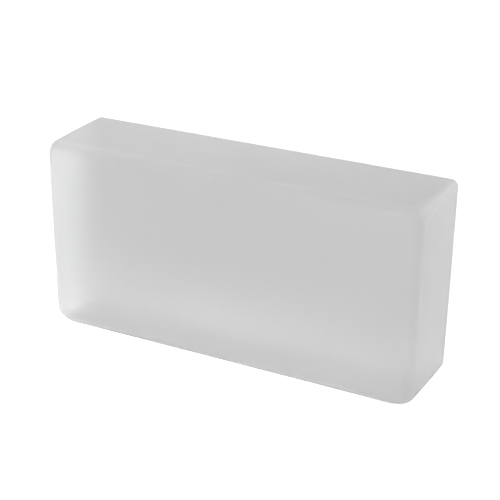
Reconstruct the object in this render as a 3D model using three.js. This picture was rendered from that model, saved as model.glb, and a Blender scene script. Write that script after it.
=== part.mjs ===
// A solid glass block: one piece of soda-lime glass, pressed in an open iron mould.
//
// The front face lies on the mould's floor, which leaves it wide soft corners and a rolled
// edge. The mould's corners tighten towards its open side, which is the back of the block.
//
// Millimetres, +Z up. X runs along the length, -Y is the front and Z = 0 is the bed face
// that the block stands on. The origin is the middle of that bed face.

import * as THREE from 'three';

// Overall sizes.
const LENGTH = 200;
const HEIGHT = 100;
const THICKNESS = 50;

// Corners of the block as seen from the front, at the front face and at the back face.
const FRONT_CORNER_RADIUS = 8.5;
const BACK_CORNER_RADIUS = 4.5;

// Rounding that rolls each large face over into the beds and ends.
const FRONT_EDGE_RADIUS = 5;
const BACK_EDGE_RADIUS = 4;

// The tightest corner that the mould's iron can hold, in any section.
const SHARPEST_CORNER = 0.5;

// Facets: an arc is cut into twice this many chords.
const CORNER_DIVISIONS = 6;
const EDGE_DIVISIONS = 4;

const QUARTER_TURN = Math.PI / 2;

// The way the glass falls back from its full outline along the thickness: x is the place
// along Y, y is the inset. A quarter arc rolls up from each face to the straight wall.
function wallProfile() {
  const frontArcAt = -THICKNESS / 2 + FRONT_EDGE_RADIUS;
  const backArcAt = THICKNESS / 2 - BACK_EDGE_RADIUS;
  const profile = new THREE.Path();
  profile.absarc(frontArcAt, FRONT_EDGE_RADIUS, FRONT_EDGE_RADIUS, 2 * QUARTER_TURN, 3 * QUARTER_TURN);
  profile.absarc(backArcAt, BACK_EDGE_RADIUS, BACK_EDGE_RADIUS, 3 * QUARTER_TURN, 4 * QUARTER_TURN);
  return profile.getPoints(EDGE_DIVISIONS);
}

// The corner radius of the full outline at a place along Y. It changes evenly from face to face.
function cornerRadiusAt(y) {
  const share = (y + THICKNESS / 2) / THICKNESS;
  return THREE.MathUtils.lerp(FRONT_CORNER_RADIUS, BACK_CORNER_RADIUS, share);
}

// A section across the thickness: the block's outline in X and Z, drawn in by the inset.
// It is four corner arcs, anticlockwise from the lower right, and the path joins them with
// straight sides.
function section(inset, cornerRadius) {
  const radius = Math.max(cornerRadius - inset, SHARPEST_CORNER);
  const reach = inset + radius;
  const right = LENGTH / 2 - reach;
  const top = HEIGHT - reach;
  const outline = new THREE.Shape();
  outline.absarc(right, reach, radius, 3 * QUARTER_TURN, 4 * QUARTER_TURN);
  outline.absarc(right, top, radius, 0, QUARTER_TURN);
  outline.absarc(-right, top, radius, QUARTER_TURN, 2 * QUARTER_TURN);
  outline.absarc(-right, reach, radius, 2 * QUARTER_TURN, 3 * QUARTER_TURN);
  return outline.getPoints(CORNER_DIVISIONS);
}

// A closed body through sections of equal length, each at its own Y, with a flat face at
// the first and at the last.
function loft(sections, places) {
  const count = sections[0].length;
  const position = [];
  sections.forEach((points, row) => {
    points.forEach((point) => position.push(point.x, places[row], point.y));
  });
  const index = [];
  for (let row = 0; row < sections.length - 1; row += 1) {
    for (let column = 0; column < count; column += 1) {
      const next = (column + 1) % count;
      const a = row * count + column;
      const b = row * count + next;
      const c = b + count;
      const d = a + count;
      index.push(a, d, c, a, c, b);
    }
  }
  const last = (sections.length - 1) * count;
  THREE.ShapeUtils.triangulateShape(sections[0], []).forEach(([a, b, c]) => {
    index.push(a, b, c);
    index.push(last + c, last + b, last + a);
  });
  const geometry = new THREE.BufferGeometry();
  geometry.setAttribute('position', new THREE.Float32BufferAttribute(position, 3));
  geometry.setIndex(index);
  geometry.computeVertexNormals();
  return geometry;
}

// Satin-etched glass: nearly neutral, with the faint cool green of soda-lime glass.
function satinGlass() {
  return new THREE.MeshStandardMaterial({
    name: 'satin_glass',
    color: 0xd3dad7,
    roughness: 0.5,
    metalness: 0,
    transparent: true,
    opacity: 0.6,
  });
}

function glassBlock() {
  const profile = wallProfile();
  const places = profile.map((point) => point.x);
  const sections = profile.map((point) => section(point.y, cornerRadiusAt(point.x)));
  const mesh = new THREE.Mesh(loft(sections, places), satinGlass());
  mesh.name = 'glass_block';
  return mesh;
}

const model = new THREE.Group();
model.add(glassBlock());

export default model;
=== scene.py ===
import bpy
import numpy as np
from mathutils import Matrix, Vector


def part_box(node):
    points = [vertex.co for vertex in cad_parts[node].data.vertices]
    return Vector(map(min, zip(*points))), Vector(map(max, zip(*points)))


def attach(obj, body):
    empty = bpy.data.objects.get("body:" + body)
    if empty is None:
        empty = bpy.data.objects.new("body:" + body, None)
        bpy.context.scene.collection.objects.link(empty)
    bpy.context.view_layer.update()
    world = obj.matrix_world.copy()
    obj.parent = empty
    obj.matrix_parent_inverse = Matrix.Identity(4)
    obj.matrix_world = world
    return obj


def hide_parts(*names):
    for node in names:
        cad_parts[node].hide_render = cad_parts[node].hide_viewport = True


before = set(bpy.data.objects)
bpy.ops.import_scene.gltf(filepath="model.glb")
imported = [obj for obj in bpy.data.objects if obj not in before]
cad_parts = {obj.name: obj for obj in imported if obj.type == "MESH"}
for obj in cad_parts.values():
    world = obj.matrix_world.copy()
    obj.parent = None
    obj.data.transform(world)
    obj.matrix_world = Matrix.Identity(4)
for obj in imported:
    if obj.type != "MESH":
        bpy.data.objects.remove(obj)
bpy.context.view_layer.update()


# ---------------------------------------------------------------------------------------
# The glass block
#
# One solid brick of soda-lime glass, 200 x 100 x 50 mm. It is pressed in an open iron
# mould, front face down, so that face has wide soft corners and a rolled edge, and the
# corners tighten towards the back. It stands on its long bed face, held by nothing.
# ---------------------------------------------------------------------------------------

# Lengths are in metres.
MM = 0.001

# Corners of the outline, from the lower right anticlockwise. At the front they differ a
# little in length and in height, and the two at the bed are the longest.
FRONT_CORNER_LENGTHS = np.array([12.5, 8.5, 6.0, 11.5]) * MM
FRONT_CORNER_HEIGHTS = np.array([6.6, 8.5, 8.4, 8.0]) * MM
BACK_CORNERS = np.array([4.3, 3.9, 3.4, 4.0]) * MM
TIGHTEST_CORNER = 0.5 * MM

# The rolled edges round the front face and the back face.
FRONT_EDGE = 5.1 * MM
BACK_EDGE = 4.1 * MM

# How finely the skin is cut.
CORNER_STEPS = 16
LONG_SIDE_STEPS = 40
SHORT_SIDE_STEPS = 20
FACE_RINGS = 18
EDGE_STEPS = 12
WALL_STEPS = 12

# Chilled glass shrinks from the iron unevenly, so its flat faces are very slightly wavy.
WAVE_DEPTH = 0.06 * MM
WAVE_LENGTHS = (40 * MM, 110 * MM)
WAVE_COUNT = 14
WAVE_GAIN = 2
WAVE_SEED = 7
WAVE_FADE_ABOVE_BED = 4 * MM

# Hands and packing have rubbed a narrow line along the corners between front and back.
# The higher this power, the narrower the line.
RUBBED_NARROWNESS = 24


def skin_profile(thickness):
    """The way from the middle of the front face, over the edge, along the wall, over the
    back edge to the middle of the back face. Three values a row: the depth from the front,
    the inset from the full outline, and how far the outline is shrunk to the middle.
    Rings on a face shrink evenly. An edge is a quarter arc: inset = r(1 - sin a) and
    depth = r(1 - cos a), with a from 0 on the face to 90 degrees on the wall. The back
    edge is the same, with its depth taken from the back face."""
    ring = np.arange(1, FACE_RINGS) / FACE_RINGS
    turn = np.linspace(0, np.pi / 2, EDGE_STEPS + 1)
    wall = np.linspace(FRONT_EDGE, thickness - BACK_EDGE, WALL_STEPS + 1)[1:-1]
    front_depth = FRONT_EDGE * (1 - np.cos(turn))
    front_inset = FRONT_EDGE * (1 - np.sin(turn))
    back_depth = thickness - BACK_EDGE * (1 - np.cos(turn[::-1]))
    back_inset = BACK_EDGE * (1 - np.sin(turn[::-1]))
    depth = np.concatenate([np.zeros(ring.size), front_depth, wall, back_depth,
                            np.full(ring.size, thickness)])
    inset = np.concatenate([np.full(ring.size, FRONT_EDGE), front_inset,
                            np.zeros(wall.size), back_inset,
                            np.full(ring.size, BACK_EDGE)])
    full_outline = np.ones(2 * turn.size + wall.size)
    shrink = np.concatenate([ring, full_outline, ring[::-1]])
    return depth, inset, shrink


def outline_columns():
    """One column a point round the outline. Each has a corner, the next corner, the
    direction on their arcs, and how far it lies from the first corner to the next. On an
    arc both corners are the same and that share is 0."""
    columns = []
    for k, steps in enumerate((SHORT_SIDE_STEPS, LONG_SIDE_STEPS) * 2):
        arc = np.linspace(0, np.pi / 2, CORNER_STEPS + 1) + (k - 1) * np.pi / 2
        side = np.arange(1, steps) / steps
        next_corner = (k + 1) % 4
        columns.append((
            np.full(arc.size + side.size, k),
            np.concatenate([np.full(arc.size, k), np.full(side.size, next_corner)]),
            np.concatenate([arc, np.full(side.size, arc[-1])]),
            np.concatenate([np.zeros(arc.size), side]),
        ))
    return [np.concatenate(values) for values in zip(*columns)]


def skin(low, high):
    """The skin of the block on a grid, with rows from front to back and columns round the
    outline. In a row, corner k is a quarter of an ellipse of length P and height Q about
    (A - P, B - Q) with the corner's signs. A and B are the half sizes less the inset. P and
    Q go from the front corner's to the back corner's, by the square of the way left to the
    back, and are then lessened by the inset, but never under the tightest corner. A point
    on a straight side lies between the ends of two corners, by its share."""
    thickness = high.y - low.y
    depth, inset, shrink = skin_profile(thickness)
    corner, following, direction, share = outline_columns()
    widening = (1 - depth / thickness)[:, None] ** 2
    inset = inset[:, None]
    length = BACK_CORNERS + (FRONT_CORNER_LENGTHS - BACK_CORNERS) * widening - inset
    height = BACK_CORNERS + (FRONT_CORNER_HEIGHTS - BACK_CORNERS) * widening - inset
    length = np.maximum(length, TIGHTEST_CORNER)
    height = np.maximum(height, TIGHTEST_CORNER)
    centre_x = np.array([1, 1, -1, -1]) * ((high.x - low.x) / 2 - inset - length)
    centre_z = np.array([-1, 1, 1, -1]) * ((high.z - low.z) / 2 - inset - height)
    from_x = centre_x[:, corner] + length[:, corner] * np.cos(direction)
    from_z = centre_z[:, corner] + height[:, corner] * np.sin(direction)
    to_x = centre_x[:, following] + length[:, following] * np.cos(direction)
    to_z = centre_z[:, following] + height[:, following] * np.sin(direction)
    x = ((1 - share) * from_x + share * to_x) * shrink[:, None]
    z = ((1 - share) * from_z + share * to_z) * shrink[:, None]
    y = np.broadcast_to(depth[:, None], x.shape)
    middle = (low + high) / 2
    return np.stack([x + middle.x, y + low.y, z + middle.z], axis=-1), middle


def rubbing(thickness):
    """How much of the etch is rubbed off, from 0 to 1, on the grid of the skin. In a row it
    is sin(2t) to the power RUBBED_NARROWNESS, with t the direction on the arc of a corner,
    and 0 on the sides. That is multiplied by 1 - inset / FRONT_EDGE on the edges and the
    wall, which is 1 on the wall, and by 0 on both faces."""
    _, inset, shrink = skin_profile(thickness)
    _, _, direction, share = outline_columns()
    in_row = np.where(share == 0, np.abs(np.sin(2 * direction)) ** RUBBED_NARROWNESS, 0)
    row = np.where(shrink == 1, np.clip(1 - inset / FRONT_EDGE, 0, 1), 0)
    return row[:, None] * in_row


def closed_mesh(name, grid, front_pole, back_pole):
    """A mesh from a grid whose columns close on themselves. The first row is closed by a
    fan to one pole and the last row by a fan to the other. All faces point outwards."""
    rows, columns = grid.shape[:2]
    index = np.arange(rows * columns).reshape(rows, columns)
    beside = np.roll(index, -1, axis=1)
    quads = np.stack([index[:-1], index[1:], beside[1:], beside[:-1]], axis=-1)
    front, back = rows * columns, rows * columns + 1
    front_fan = np.stack([np.full(columns, front), index[0], beside[0]], axis=-1)
    back_fan = np.stack([np.full(columns, back), beside[-1], index[-1]], axis=-1)
    points = np.concatenate([grid.reshape(-1, 3), [front_pole, back_pole]])
    faces = quads.reshape(-1, 4).tolist() + front_fan.tolist() + back_fan.tolist()
    mesh = bpy.data.meshes.new(name)
    mesh.from_pydata(points.tolist(), [], faces)
    mesh.update()
    return mesh


def points_and_normals(mesh):
    """The mesh's points and their outward directions, as two arrays."""
    points = np.empty(len(mesh.vertices) * 3)
    normals = np.empty(len(mesh.vertices) * 3)
    mesh.vertices.foreach_get("co", points)
    mesh.vertices.foreach_get("normal", normals)
    return points.reshape(-1, 3), normals.reshape(-1, 3)


def waves(points, seed):
    """Smooth waves between 0 and 1: the mean of plane sine waves with random directions,
    lengths and starts, times WAVE_GAIN, held to -1..1 and moved to 0..1."""
    random = np.random.default_rng(seed)
    direction = random.normal(size=(WAVE_COUNT, 3))
    direction /= np.linalg.norm(direction, axis=1, keepdims=True)
    length = random.uniform(*WAVE_LENGTHS, size=WAVE_COUNT)
    start = random.uniform(0, 2 * np.pi, size=WAVE_COUNT)
    phase = points @ (direction / length[:, None]).T * 2 * np.pi + start
    return 0.5 + 0.5 * np.clip(np.sin(phase).mean(axis=1) * WAVE_GAIN, -1, 1)


low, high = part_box("glass_block")
grid, middle = skin(low, high)
block_mesh = closed_mesh("glass_block_skin", grid, (middle.x, low.y, middle.z),
                         (middle.x, high.y, middle.z))
points, normals = points_and_normals(block_mesh)

# The skin only ever moves inwards, and not at all at the bed, which lies flat on the floor.
above_bed = np.clip((points[:, 2] - low.z) / WAVE_FADE_ABOVE_BED, 0, 1)
sink = WAVE_DEPTH * waves(points, WAVE_SEED) * above_bed
points -= normals * sink[:, None]
points[:, 2] = np.maximum(points[:, 2], low.z)
block_mesh.vertices.foreach_set("co", points.ravel())
block_mesh.shade_smooth()
block_mesh.update()

# The poles, which are the last two points, lie in the middle of the faces.
rubbed_off = np.append(rubbing(high.y - low.y), [0, 0]).astype(np.float32)
rubbed = block_mesh.attributes.new("rubbed", "FLOAT", "POINT")
rubbed.data.foreach_set("value", rubbed_off)

block = bpy.data.objects.new("glass_block_finished", block_mesh)
bpy.context.scene.collection.objects.link(block)


def linear(hex_colour):
    """An sRGB hex colour as linear RGBA: c / 12.92 below 0.04045, and otherwise
    ((c + 0.055) / 1.055) to the power 2.4."""
    c = np.array([int(hex_colour[i:i + 2], 16) for i in (1, 3, 5)]) / 255
    c = np.where(c <= 0.04045, c / 12.92, ((c + 0.055) / 1.055) ** 2.4)
    return (*c.tolist(), 1.0)


def add_node(owner, kind, settings=None, numbered=None, **named):
    """Adds a node to a material or to the world. settings are its own properties. named
    inputs go by the socket's name, with an underscore for a space. numbered inputs go by
    its place, where a node's sockets share a name. An input is a value for the socket, or
    another node's output socket, which is linked."""
    tree = owner.node_tree
    node = tree.nodes.new(kind)
    for key, value in (settings or {}).items():
        setattr(node, key, value)
    inputs = {name.replace("_", " "): value for name, value in named.items()}
    for key, value in {**inputs, **(numbered or {})}.items():
        socket = node.inputs[key]
        if isinstance(value, bpy.types.NodeSocket):
            tree.links.new(value, socket)
        else:
            socket.default_value = value
    return node


def new_material(name):
    """A material without nodes."""
    material = bpy.data.materials.new(name)
    material.use_nodes = True
    material.node_tree.nodes.clear()
    return material


# Satin-etched soda-lime glass. The pressed block is dipped in acid, which roughens its
# whole skin, so it lets light through but no shapes: the eye gets a pale, cool, cloudy grey
# body with soft bands of light at its ends, and no sharp reflection anywhere.
GLASS_TINT = "#CCCCCC"
GLASS_TINT_CLOUDED = "#C9C9C9"
GLASS_IOR = 1.52
# The pits swallow part of the light that the skin would throw back.
REFLECTION_TINT = "#A0A0A0"
ETCH_ROUGHNESS = (0.61, 0.65)
# The rubbed line along the corners is smoother.
RUBBED_ROUGHNESS = 0.3
CLOUD_SIZE = 28 * MM
CLOUD_GRAIN = {"Detail": 2.0, "Roughness": 0.45}
ETCH_PATCH_SIZE = 12 * MM
ETCH_PATCH_GRAIN = {"Detail": 3.0, "Roughness": 0.5}
# The etched pits are about 0.05 mm across, too fine to show, so they are drawn at 0.7 mm.
PIT_SIZE = 0.7 * MM
PIT_GRAIN = {"Detail": 1.0, "Roughness": 0.5}
PIT_DEPTH = 0.012 * MM
# Iron in the batch greys the glass, by about a fifth over 150 mm, and least in the green.
IRON_TINT = "#B7BCB8"
IRON_DENSITY = 3.0

# The places of a Mix node's sockets for colour.
MIX_SHARE, MIX_FIRST, MIX_SECOND, MIX_RESULT = 0, 6, 7, 2


def satin_etched_glass():
    """Clouds go between two tints. The roughness varies in patches and goes down to the
    rubbed line's by the attribute rubbed. The pits are a fine bump, and the body absorbs
    light along its way."""
    material = new_material("satin_etched_soda_lime_glass")
    place = add_node(material, "ShaderNodeTexCoord").outputs["Object"]
    clouds = add_node(material, "ShaderNodeTexNoise", Vector=place, Scale=1 / CLOUD_SIZE,
                      **CLOUD_GRAIN)
    tint = add_node(material, "ShaderNodeMix", {"data_type": "RGBA"},
                    {MIX_SHARE: clouds.outputs["Fac"], MIX_FIRST: linear(GLASS_TINT),
                     MIX_SECOND: linear(GLASS_TINT_CLOUDED)})
    patches = add_node(material, "ShaderNodeTexNoise", Vector=place,
                       Scale=1 / ETCH_PATCH_SIZE, **ETCH_PATCH_GRAIN)
    etch = add_node(material, "ShaderNodeMapRange", Value=patches.outputs["Fac"],
                    To_Min=ETCH_ROUGHNESS[0], To_Max=ETCH_ROUGHNESS[1])
    rubbed = add_node(material, "ShaderNodeAttribute", {"attribute_name": "rubbed"})
    finish = add_node(material, "ShaderNodeMapRange", Value=rubbed.outputs["Fac"],
                      To_Min=etch.outputs["Result"], To_Max=RUBBED_ROUGHNESS)
    pits = add_node(material, "ShaderNodeTexNoise", Vector=place, Scale=1 / PIT_SIZE,
                    **PIT_GRAIN)
    bump = add_node(material, "ShaderNodeBump", Height=pits.outputs["Fac"], Strength=1.0,
                    Distance=PIT_DEPTH)
    glass = add_node(material, "ShaderNodeBsdfPrincipled",
                     Base_Color=tint.outputs[MIX_RESULT],
                     Roughness=finish.outputs["Result"], IOR=GLASS_IOR,
                     Specular_Tint=linear(REFLECTION_TINT), Transmission_Weight=1.0,
                     Normal=bump.outputs["Normal"])
    iron = add_node(material, "ShaderNodeVolumeAbsorption", Color=linear(IRON_TINT),
                    Density=IRON_DENSITY)
    add_node(material, "ShaderNodeOutputMaterial", Surface=glass.outputs["BSDF"],
             Volume=iron.outputs["Volume"])
    return material


block_mesh.materials.append(satin_etched_glass())
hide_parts("glass_block")
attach(block, "root")


# ---------------------------------------------------------------------------------------
# The floor
#
# A plain sheet of opal acrylic, much larger than the block, that isn't part of it. Its
# emission paints light into it: a long pool under the block's left part, a little turned,
# where no lamp stands, a narrow seam round the block's foot, where the block's shade would
# fall, and a glow everywhere further from the block.
# ---------------------------------------------------------------------------------------

FLOOR_HALF_WIDTH = 6.0
FLOOR_GAP = 0.1 * MM
FLOOR_WHITE = "#F8F8F8"
FLOOR_ROUGHNESS = 0.85
GLOW_WHITE = "#FFFFFF"
# Each painted glow in the floor changes smoothly over its reach, given as the distances
# where the change starts and ends. The painted pool's are across it, and along it they are
# twice as long.
# A pool of painted light in the floor under the block's left part, where no lamp stands.
PAINTED_POOL_MIDDLE = (-60 * MM, 0, 0)
PAINTED_POOL_TURN = (0, 0, np.radians(15))
PAINTED_POOL_SHAPE = (2, 1, 1)
PAINTED_POOL_REACH = (20 * MM, 120 * MM)
PAINTED_POOL_STRENGTH = 0.45
# The seam is painted light in the floor that fills the shade under the block's rolled
# edges.
SEAM_INSET = 2 * MM
SEAM_REACH = (2 * MM, 5 * MM)
SEAM_STRENGTH = 0.35
AWAY_REACH = (200 * MM, 900 * MM)
AWAY_STRENGTH = 0.75

square = np.array([[-1, -1, 0], [1, -1, 0], [1, 1, 0], [-1, 1, 0]])
floor_corners = square * FLOOR_HALF_WIDTH + [0, 0, low.z - FLOOR_GAP]
floor_mesh = bpy.data.meshes.new("floor")
floor_mesh.from_pydata(floor_corners.tolist(), [], [(0, 1, 2, 3)])
floor = bpy.data.objects.new("floor", floor_mesh)
bpy.context.scene.collection.objects.link(floor)


def opal_acrylic():
    """White acrylic whose glow goes from a painted pool + a painted seam of light near the
    block to one strength away from it. The pool fades with the distance from its middle,
    turned and shrunk to its shape. The seam fades with |max(|x| - a, |y| - b)|, where a and
    b are its half sizes."""
    material = new_material("opal_acrylic")
    place = add_node(material, "ShaderNodeTexCoord").outputs["Object"]
    smooth = {"interpolation_type": "SMOOTHSTEP"}
    # The painted pool of light under the block's left part.
    from_lamp = add_node(material, "ShaderNodeMapping", {"vector_type": "TEXTURE"},
                         Vector=place, Location=PAINTED_POOL_MIDDLE, Rotation=PAINTED_POOL_TURN,
                         Scale=PAINTED_POOL_SHAPE)
    lamp_distance = add_node(material, "ShaderNodeVectorMath", {"operation": "LENGTH"},
                             Vector=from_lamp.outputs["Vector"])
    lamp = add_node(material, "ShaderNodeMapRange", smooth,
                    Value=lamp_distance.outputs["Value"], From_Min=PAINTED_POOL_REACH[0],
                    From_Max=PAINTED_POOL_REACH[1], To_Min=PAINTED_POOL_STRENGTH, To_Max=0.0)
    # The painted seam of light round the block's foot, where its shade would fall on the
    # floor.
    seam_half_sizes = (high - low) / 2 - Vector((SEAM_INSET, SEAM_INSET, 0))
    folded = add_node(material, "ShaderNodeVectorMath", {"operation": "ABSOLUTE"},
                      Vector=place)
    beyond = add_node(material, "ShaderNodeVectorMath", {"operation": "SUBTRACT"},
                      {0: folded.outputs["Vector"], 1: seam_half_sizes})
    beyond_lines = add_node(material, "ShaderNodeSeparateXYZ",
                            Vector=beyond.outputs["Vector"])
    larger = add_node(material, "ShaderNodeMath", {"operation": "MAXIMUM"},
                      {0: beyond_lines.outputs["X"], 1: beyond_lines.outputs["Y"]})
    seam_distance = add_node(material, "ShaderNodeMath", {"operation": "ABSOLUTE"},
                             Value=larger.outputs["Value"])
    seam = add_node(material, "ShaderNodeMapRange", smooth,
                    Value=seam_distance.outputs["Value"], From_Min=SEAM_REACH[0],
                    From_Max=SEAM_REACH[1], To_Min=SEAM_STRENGTH, To_Max=0.0)
    near = add_node(material, "ShaderNodeMath", {"operation": "ADD"},
                    {0: lamp.outputs["Result"], 1: seam.outputs["Result"]})
    middle_distance = add_node(material, "ShaderNodeVectorMath", {"operation": "LENGTH"},
                               Vector=place)
    glow = add_node(material, "ShaderNodeMapRange", smooth,
                    Value=middle_distance.outputs["Value"], From_Min=AWAY_REACH[0],
                    From_Max=AWAY_REACH[1], To_Min=near.outputs["Value"],
                    To_Max=AWAY_STRENGTH)
    sheet = add_node(material, "ShaderNodeBsdfPrincipled", Base_Color=linear(FLOOR_WHITE),
                     Roughness=FLOOR_ROUGHNESS, Emission_Color=linear(GLOW_WHITE),
                     Emission_Strength=glow.outputs["Result"])
    add_node(material, "ShaderNodeOutputMaterial", Surface=sheet.outputs["BSDF"])
    return material


floor_mesh.materials.append(opal_acrylic())


# ---------------------------------------------------------------------------------------
# The light
#
# Soft studio light: large softboxes round the block, and a long one and a small one close
# to its front. The camera sees none of them. Beyond the floor is a pale room.
# ---------------------------------------------------------------------------------------

# Distances from the middle of the block, and widths and heights of the boxes.
FAR, NEAR, CLOSE = 1.2, 0.5, 0.35
LARGE = (0.7, 0.7)
MIDDLING = (0.4, 0.4)
SMALL = (0.3, 0.3)
STRIP = (0.7, 0.28)
SHORT_STRIP = (0.5, 0.2)
BLOCK_MIDDLE = Vector(middle)


def softbox(name, azimuth, elevation, distance, size, watts):
    """A softbox that faces the block. Azimuth 0 is in front, and 90 is on the right. Its
    direction is (sin a cos e, -cos a cos e, sin e), with a the azimuth and e the elevation,
    both given in degrees."""
    a, e = np.radians(azimuth), np.radians(elevation)
    away = Vector((np.sin(a) * np.cos(e), -np.cos(a) * np.cos(e), np.sin(e)))
    lamp = bpy.data.lights.new(name, "AREA")
    lamp.shape = "RECTANGLE"
    lamp.size, lamp.size_y = size
    lamp.energy = watts
    box = bpy.data.objects.new(name, lamp)
    bpy.context.scene.collection.objects.link(box)
    box.location = BLOCK_MIDDLE + away * distance
    box.rotation_euler = away.to_track_quat("Z", "Y").to_euler()
    box.visible_camera = False


softbox("front_top_key", 0, 52, distance=CLOSE, size=SHORT_STRIP, watts=1.57)
softbox("front_right_fill", 60, 30, distance=NEAR, size=SMALL, watts=0.37)
softbox("front_left_strip", 300, 5, distance=FAR, size=STRIP, watts=1.5)
softbox("back_right_strip", 120, 5, distance=FAR, size=STRIP, watts=13.0)
softbox("back_right_edge", 158, 26, distance=FAR, size=MIDDLING, watts=2.8)
softbox("back_top", 180, 52, distance=FAR, size=LARGE, watts=1.0)
softbox("back_left_top", 225, 52, distance=FAR, size=LARGE, watts=4.3)

# The room's walls are paler than its ceiling. Its brightness goes from the ceiling's to the
# walls' by (1 - z) to the power WALL_FADE, with z the height of the direction looked in.
ROOM_WHITE = "#FFFFFF"
CEILING_BRIGHTNESS = 0.25
WALL_BRIGHTNESS = 1.0
WALL_FADE = 6.0

room = bpy.data.worlds.new("pale_room")
bpy.context.scene.world = room
room.use_nodes = True
room.node_tree.nodes.clear()
outlook = add_node(room, "ShaderNodeTexCoord").outputs["Generated"]
steepness = add_node(room, "ShaderNodeSeparateXYZ", Vector=outlook).outputs["Z"]
levelness = add_node(room, "ShaderNodeMath", {"operation": "SUBTRACT", "use_clamp": True},
                     {0: 1.0, 1: steepness})
wall_share = add_node(room, "ShaderNodeMath", {"operation": "POWER"},
                      {0: levelness.outputs["Value"], 1: WALL_FADE})
room_light = add_node(room, "ShaderNodeMapRange", Value=wall_share.outputs["Value"],
                      To_Min=CEILING_BRIGHTNESS, To_Max=WALL_BRIGHTNESS)
background = add_node(room, "ShaderNodeBackground", Color=linear(ROOM_WHITE),
                      Strength=room_light.outputs["Result"])
add_node(room, "ShaderNodeOutputWorld", Surface=background.outputs["Background"])


# ---------------------------------------------------------------------------------------
# The camera
#
# A short telephoto lens, in front of the block, to its right and above it. The picture is
# 500 pixels wide and high.
# ---------------------------------------------------------------------------------------

# Angles in radians, and the place of the camera as it sees the middle of the block: how far
# back from it, and how far to its own right and up.
YAW, PITCH, ROLL = 0.4693, 0.4292, 0.0126
DISTANCE = 634.84 * MM
SIDEWAYS, UPWARDS = 2.506 * MM, -10.518 * MM
FOCAL_PIXELS = 1273.2
PICTURE_PIXELS = 500
SENSOR_MILLIMETRES = 36
SHIFT_UP = 0.05
CLIP_START = 10 * MM

back = Vector((np.sin(YAW) * np.cos(PITCH), -np.cos(YAW) * np.cos(PITCH), np.sin(PITCH)))
level = Vector((np.cos(YAW), np.sin(YAW), 0))
upright = back.cross(level)
right = level * np.cos(ROLL) + upright * np.sin(ROLL)
up = upright * np.cos(ROLL) - level * np.sin(ROLL)

lens = bpy.data.cameras.new("camera")
lens.sensor_width = SENSOR_MILLIMETRES
lens.lens = FOCAL_PIXELS / PICTURE_PIXELS * SENSOR_MILLIMETRES
lens.shift_y = SHIFT_UP
lens.clip_start = CLIP_START
camera = bpy.data.objects.new("camera", lens)
bpy.context.scene.collection.objects.link(camera)
pose = Matrix((right, up, back)).transposed().to_4x4()
pose.translation = BLOCK_MIDDLE + right * SIDEWAYS + up * UPWARDS + back * DISTANCE
camera.matrix_world = pose

scene = bpy.context.scene
scene.camera = camera
scene.view_settings.view_transform = "Standard"
scene.view_settings.look = "None"
# Light passes the rough skin many times before it leaves the glass.
scene.cycles.max_bounces = 32
scene.cycles.transmission_bounces = 32
scene.cycles.glossy_bounces = 16
scene.cycles.diffuse_bounces = 6
scene.cycles.caustics_reflective = True
scene.cycles.caustics_refractive = True
